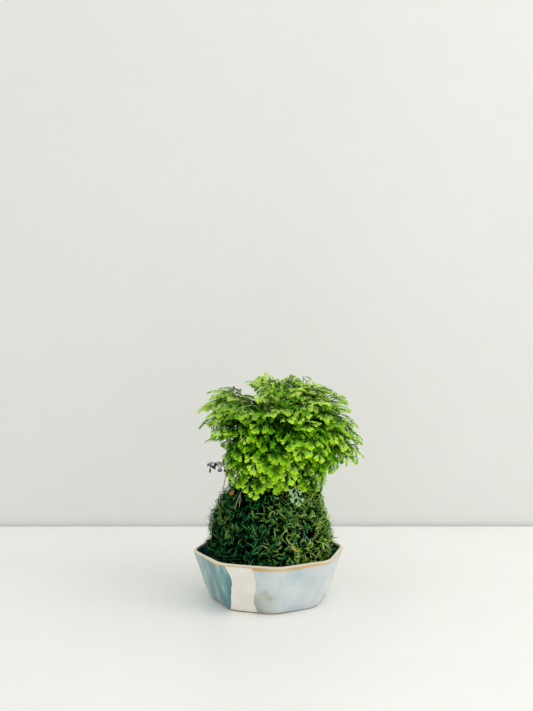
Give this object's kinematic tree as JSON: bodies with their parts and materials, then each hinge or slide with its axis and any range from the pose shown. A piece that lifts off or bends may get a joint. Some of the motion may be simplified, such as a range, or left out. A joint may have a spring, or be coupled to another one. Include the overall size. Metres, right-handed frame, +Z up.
{
  "type": "kokedama moss ball plant",
  "caption": "Ball of soil wrapped in moss and bound with thread, with a tuft of feathery spike moss fronds, standing in an eight-sided stoneware bowl.",
  "frame": {"origin": "middle of the bowl's flat foot, on the surface it stands on", "axes": "+Z up; -Y is the front, where the bowl's bare stripe is left of centre; +X is to the right seen from the front"},
  "size_m": [0.1489, 0.1322, 0.1966],
  "materials": {
    "glazed_stoneware": "glazed stoneware: pale blue-grey and teal glazes with a bare cream stripe and an ochre lip",
    "soil": "dark moist potting soil",
    "moss": "dense feathery moss, deep green with yellow-green tips",
    "thread": "blue-green cotton thread",
    "rootstock": "fibrous rootstock",
    "stem": "pale yellow-green stems",
    "frond": "bright green spike moss fronds with paler lime tips and midribs",
    "dry_stalk": "straw-coloured dry stalk",
    "withered": "dark withered sprig",
    "bark": "golden-brown bark"
  },
  "bodies": {
    "root": {"bowl": "glazed_stoneware", "soil_ball": "soil", "moss_sheet_left": "moss", "moss_sheet_back": "moss", "moss_sheet_right": "moss", "binding_thread": "thread", "rootstock": "rootstock", "stem_01": "stem", "stem_02": "stem", "stem_03": "stem", "stem_04": "stem", "stem_05": "stem", "stem_06": "stem", "stem_07": "stem", "stem_08": "stem", "stem_09": "stem", "stem_10": "stem", "stem_11": "stem", "stem_12": "stem", "stem_13": "stem", "stem_14": "stem", "stem_15": "stem", "stem_16": "stem", "frond_01": "frond", "frond_02": "frond", "frond_03": "frond", "frond_04": "frond", "frond_05": "frond", "frond_06": "frond", "frond_07": "frond", "frond_08": "frond", "frond_09": "frond", "frond_10": "frond", "frond_11": "frond", "frond_12": "frond", "frond_13": "frond", "frond_14": "frond", "frond_15": "frond", "frond_16": "frond", "frond_17": "frond", "frond_18": "frond", "frond_19": "frond", "frond_20": "frond", "frond_21": "frond", "frond_22": "frond", "frond_23": "frond", "frond_24": "frond", "frond_25": "frond", "frond_26": "frond", "frond_27": "frond", "frond_28": "frond", "frond_29": "frond", "frond_30": "frond", "frond_31": "frond", "frond_32": "frond", "dry_stalk_front": "dry_stalk", "dry_stalk_left": "dry_stalk", "withered_frond": "withered", "bark_chip": "bark"}
  },
  "joints": []
}
